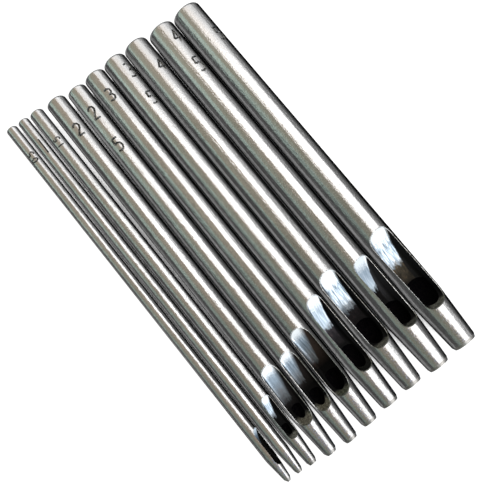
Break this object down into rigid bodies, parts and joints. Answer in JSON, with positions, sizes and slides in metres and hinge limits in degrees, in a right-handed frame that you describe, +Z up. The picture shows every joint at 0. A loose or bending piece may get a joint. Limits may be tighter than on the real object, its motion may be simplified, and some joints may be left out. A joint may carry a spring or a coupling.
{
  "type": "drive hole punch set",
  "caption": "Row of slim round steel drive punches with hollow cutting tips and side windows for cutting round holes in leather.",
  "frame": {"origin": "middle of the row's footprint, on the surface that the punches lie on", "axes": "+Z up from that surface, +X across the row from the thinnest punch to the thickest, +Y along the punches from their cutting tips to their struck heads"},
  "size_m": [0.0548, 0.1024, 0.0076],
  "materials": {
    "steel_0_5mm": "bare steel, ground and lightly brushed along its length, milled window with a dark interior",
    "steel_1_0mm": "bare steel, ground and lightly brushed along its length, milled window with a dark interior",
    "steel_1_5mm": "bare steel, ground and lightly brushed along its length, milled window with a dark interior",
    "steel_2_0mm": "bare steel, ground and lightly brushed along its length, milled window with a dark interior",
    "steel_2_5mm": "bare steel, ground and lightly brushed along its length, milled window with a dark interior",
    "steel_3_0mm": "bare steel, ground and lightly brushed along its length, milled window with a dark interior",
    "steel_3_5mm": "bare steel, ground and lightly brushed along its length, milled window with a dark interior",
    "steel_4_0mm": "bare steel, ground and lightly brushed along its length, milled window with a dark interior",
    "steel_4_5mm": "bare steel, ground and lightly brushed along its length, milled window with a dark interior",
    "steel_5_0mm": "bare steel, ground and lightly brushed along its length, milled window with a dark interior"
  },
  "bodies": {
    "punch_0_5mm": {"punch_0_5mm": "steel_0_5mm"},
    "punch_1_0mm": {"punch_1_0mm": "steel_1_0mm"},
    "punch_1_5mm": {"punch_1_5mm": "steel_1_5mm"},
    "punch_2_0mm": {"punch_2_0mm": "steel_2_0mm"},
    "punch_2_5mm": {"punch_2_5mm": "steel_2_5mm"},
    "punch_3_0mm": {"punch_3_0mm": "steel_3_0mm"},
    "punch_3_5mm": {"punch_3_5mm": "steel_3_5mm"},
    "punch_4_0mm": {"punch_4_0mm": "steel_4_0mm"},
    "punch_4_5mm": {"punch_4_5mm": "steel_4_5mm"},
    "punch_5_0mm": {"punch_5_0mm": "steel_5_0mm"}
  },
  "joints": [
    {"name": "lift_0_5mm", "type": "slide", "parent": "punch_3_0mm", "child": "punch_0_5mm", "axis": [0, 0, 1], "range_m": [0, 0.04]},
    {"name": "lift_1_0mm", "type": "slide", "parent": "punch_3_0mm", "child": "punch_1_0mm", "axis": [0, 0, 1], "range_m": [0, 0.04]},
    {"name": "lift_1_5mm", "type": "slide", "parent": "punch_3_0mm", "child": "punch_1_5mm", "axis": [0, 0, 1], "range_m": [0, 0.04]},
    {"name": "lift_2_0mm", "type": "slide", "parent": "punch_3_0mm", "child": "punch_2_0mm", "axis": [0, 0, 1], "range_m": [0, 0.04]},
    {"name": "lift_2_5mm", "type": "slide", "parent": "punch_3_0mm", "child": "punch_2_5mm", "axis": [0, 0, 1], "range_m": [0, 0.04]},
    {"name": "lift_3_5mm", "type": "slide", "parent": "punch_3_0mm", "child": "punch_3_5mm", "axis": [0, 0, 1], "range_m": [0, 0.04]},
    {"name": "lift_4_0mm", "type": "slide", "parent": "punch_3_0mm", "child": "punch_4_0mm", "axis": [0, 0, 1], "range_m": [0, 0.04]},
    {"name": "lift_4_5mm", "type": "slide", "parent": "punch_3_0mm", "child": "punch_4_5mm", "axis": [0, 0, 1], "range_m": [0, 0.04]},
    {"name": "lift_5_0mm", "type": "slide", "parent": "punch_3_0mm", "child": "punch_5_0mm", "axis": [0, 0, 1], "range_m": [0, 0.04]}
  ]
}
